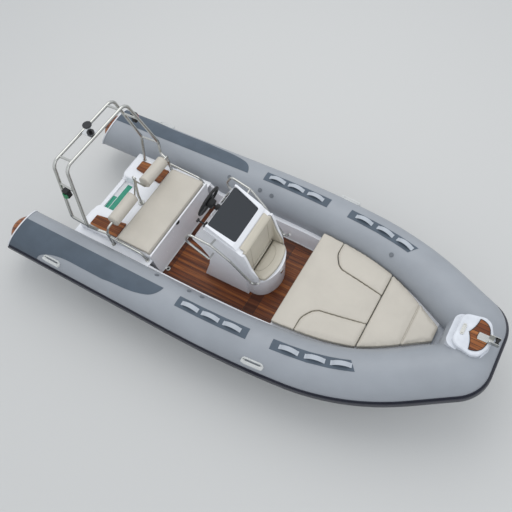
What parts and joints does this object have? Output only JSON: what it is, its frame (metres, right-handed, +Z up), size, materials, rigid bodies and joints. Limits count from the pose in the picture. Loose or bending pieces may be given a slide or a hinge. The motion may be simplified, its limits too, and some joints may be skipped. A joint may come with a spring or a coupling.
{
  "type": "rigid inflatable boat",
  "caption": "Open rigid inflatable boat with a V hull, grey buoyancy tubes, teak floor, hinged bench, steering console with seat, cushioned bow and stern arch",
  "frame": {"origin": "on the waterline, on the centreline, level with the middle of the buoyancy tubes' slanted after ends", "axes": "+X forward to the bow, +Y to port, +Z up"},
  "size_m": [5.3914, 2.332, 1.792],
  "materials": {
    "gelcoat": "white polished gelcoat",
    "tube_grey": "light blue-grey coated fabric, satin",
    "ring_white": "white coated fabric, satin",
    "strake_navy": "navy rubber extrusion, satin",
    "slate_patch": "dark slate non-slip patch, matt",
    "webbing": "light grey webbing",
    "handle_white": "white moulded handle",
    "valve_grey": "grey valve",
    "cap_brown": "brown planked end cone",
    "teak": "oiled teak planking with dark caulking",
    "stainless": "polished stainless steel",
    "cushion_cream": "cream vinyl over foam",
    "black_plastic": "black moulding",
    "tinted_glass": "smoked acrylic",
    "lamp_red": "red lens in a black housing",
    "lamp_green": "green lens in a black housing",
    "wheel_black": "black padded rim"
  },
  "bodies": {
    "boat": {"hull": "gelcoat", "transom": "gelcoat", "aft_deck": "gelcoat", "cockpit_liner": "gelcoat", "seat_box": "gelcoat", "console_body": "gelcoat", "bow_locker": "gelcoat", "bow_plate": "gelcoat", "windscreen_frame": "gelcoat", "port_tube": "tube_grey", "starboard_tube": "tube_grey", "bow_tube": "tube_grey", "tube_end_rings": "ring_white", "rub_strake": "strake_navy", "stern_pads": "slate_patch", "strap_pads": "slate_patch", "strap_loops": "webbing", "grab_handles": "handle_white", "air_valves": "valve_grey", "tube_end_caps": "cap_brown", "floor_teak": "teak", "step_teak": "teak", "bow_teak": "teak", "arch": "stainless", "arch_after_hoop": "stainless", "arch_bars": "stainless", "seat_rails": "stainless", "tow_post": "stainless", "bolster_arms": "stainless", "console_rails": "stainless", "bolster_brackets": "stainless", "roller_bracket": "stainless", "bow_cleat": "stainless", "console_latch": "stainless", "port_bolster": "cushion_cream", "starboard_bolster": "cushion_cream", "console_backrest": "cushion_cream", "bow_cushion_main": "cushion_cream", "bow_cushion_port": "cushion_cream", "bow_cushion_starboard": "cushion_cream", "bow_cushion_forward": "cushion_cream", "bow_cushion_tip": "cushion_cream", "all_round_light": "black_plastic", "helm_boss": "black_plastic", "gauges": "black_plastic", "throttle": "black_plastic", "windscreen": "tinted_glass", "port_sidelight": "lamp_red", "starboard_sidelight": "lamp_green"},
    "wheel": {"steering_wheel": "wheel_black"},
    "after_seat_lid": {"seat_lid": "gelcoat", "seat_cushion": "cushion_cream", "seat_latch": "black_plastic"},
    "console_lid": {"console_seat_lid": "gelcoat", "console_seat_pad": "cushion_cream"},
    "anchor_roller": {"bow_roller": "black_plastic"}
  },
  "joints": [
    {"name": "steering", "type": "hinge", "parent": "boat", "child": "wheel", "pos_m": [2.177, 0, 1.088], "axis": [-0.9397, 0, 0.342], "range_deg": [-630, 630]},
    {"name": "after_seat_hinge", "type": "hinge", "parent": "boat", "child": "after_seat_lid", "pos_m": [1.166, 0, 0.415], "axis": [0, -1, 0], "range_deg": [0, 48]},
    {"name": "console_seat_hinge", "type": "hinge", "parent": "boat", "child": "console_lid", "pos_m": [2.734, 0, 0.4], "axis": [0, -1, 0], "range_deg": [0, 60]},
    {"name": "roller_spin", "type": "hinge", "parent": "boat", "child": "anchor_roller", "pos_m": [5.122, 0, 0.835], "axis": [0, 1, 0], "continuous": true}
  ]
}
